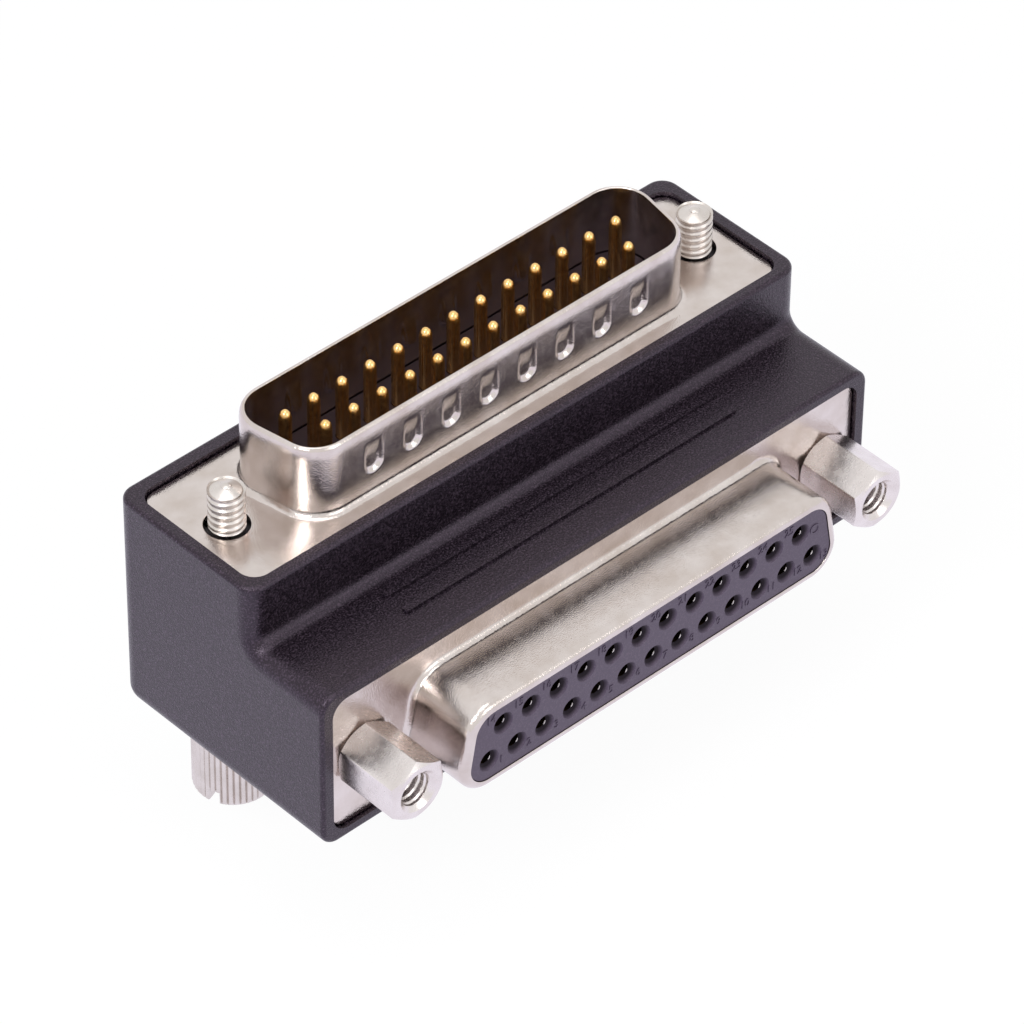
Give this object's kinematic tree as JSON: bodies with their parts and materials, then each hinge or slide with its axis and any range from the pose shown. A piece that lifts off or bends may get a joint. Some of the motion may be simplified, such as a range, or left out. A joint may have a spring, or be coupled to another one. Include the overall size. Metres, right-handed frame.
{
  "type": "right-angle d-sub adapter",
  "caption": "Right-angle adapter that joins a D plug facing up to a D socket facing forward, with captive thumbscrews and hexagonal jackscrews.",
  "frame": {"origin": "centre of the plug flange's front face, midway between the two thumbscrews", "axes": "+Z out of the plug, -Y out of the socket, +X along both connectors towards contact 13"},
  "size_m": [0.0554, 0.0282, 0.0319],
  "materials": {
    "housing_plastic": "spark-eroded matt black",
    "insulator_plastic": "moulded black",
    "nickel_shell": "bright nickel plate on drawn sheet",
    "screw_nickel": "nickel plate on turned metal",
    "spring_steel": "plain spring steel",
    "gold_contact": "gold flash on brass"
  },
  "bodies": {
    "body": {"housing": "housing_plastic", "male_shell": "nickel_shell", "male_insulator": "insulator_plastic", "female_shell": "nickel_shell", "female_insulator": "insulator_plastic", "jackscrews": "screw_nickel", "male_pin_01": "gold_contact", "male_pin_02": "gold_contact", "male_pin_03": "gold_contact", "male_pin_04": "gold_contact", "male_pin_05": "gold_contact", "male_pin_06": "gold_contact", "male_pin_07": "gold_contact", "male_pin_08": "gold_contact", "male_pin_09": "gold_contact", "male_pin_10": "gold_contact", "male_pin_11": "gold_contact", "male_pin_12": "gold_contact", "male_pin_13": "gold_contact", "male_pin_14": "gold_contact", "male_pin_15": "gold_contact", "male_pin_16": "gold_contact", "male_pin_17": "gold_contact", "male_pin_18": "gold_contact", "male_pin_19": "gold_contact", "male_pin_20": "gold_contact", "male_pin_21": "gold_contact", "male_pin_22": "gold_contact", "male_pin_23": "gold_contact", "male_pin_24": "gold_contact", "male_pin_25": "gold_contact", "female_socket_01": "gold_contact", "female_socket_02": "gold_contact", "female_socket_03": "gold_contact", "female_socket_04": "gold_contact", "female_socket_05": "gold_contact", "female_socket_06": "gold_contact", "female_socket_07": "gold_contact", "female_socket_08": "gold_contact", "female_socket_09": "gold_contact", "female_socket_10": "gold_contact", "female_socket_11": "gold_contact", "female_socket_12": "gold_contact", "female_socket_13": "gold_contact", "female_socket_14": "gold_contact", "female_socket_15": "gold_contact", "female_socket_16": "gold_contact", "female_socket_17": "gold_contact", "female_socket_18": "gold_contact", "female_socket_19": "gold_contact", "female_socket_20": "gold_contact", "female_socket_21": "gold_contact", "female_socket_22": "gold_contact", "female_socket_23": "gold_contact", "female_socket_24": "gold_contact", "female_socket_25": "gold_contact"},
    "left_carrier": {"retainer_left": "spring_steel"},
    "left_screw": {"thumbscrew_left": "screw_nickel"},
    "right_carrier": {"retainer_right": "spring_steel"},
    "right_screw": {"thumbscrew_right": "screw_nickel"}
  },
  "joints": [
    {"name": "left_screw_float", "type": "slide", "parent": "body", "child": "left_carrier", "axis": [0, 0, 1], "range_m": [-0.0042, 0]},
    {"name": "left_screw_turn", "type": "hinge", "parent": "left_carrier", "child": "left_screw", "pos_m": [-0.02352, 0, 0], "axis": [0, 0, 1], "continuous": true},
    {"name": "right_screw_float", "type": "slide", "parent": "body", "child": "right_carrier", "axis": [0, 0, 1], "range_m": [-0.0042, 0]},
    {"name": "right_screw_turn", "type": "hinge", "parent": "right_carrier", "child": "right_screw", "pos_m": [0.02352, 0, 0], "axis": [0, 0, 1], "continuous": true}
  ]
}
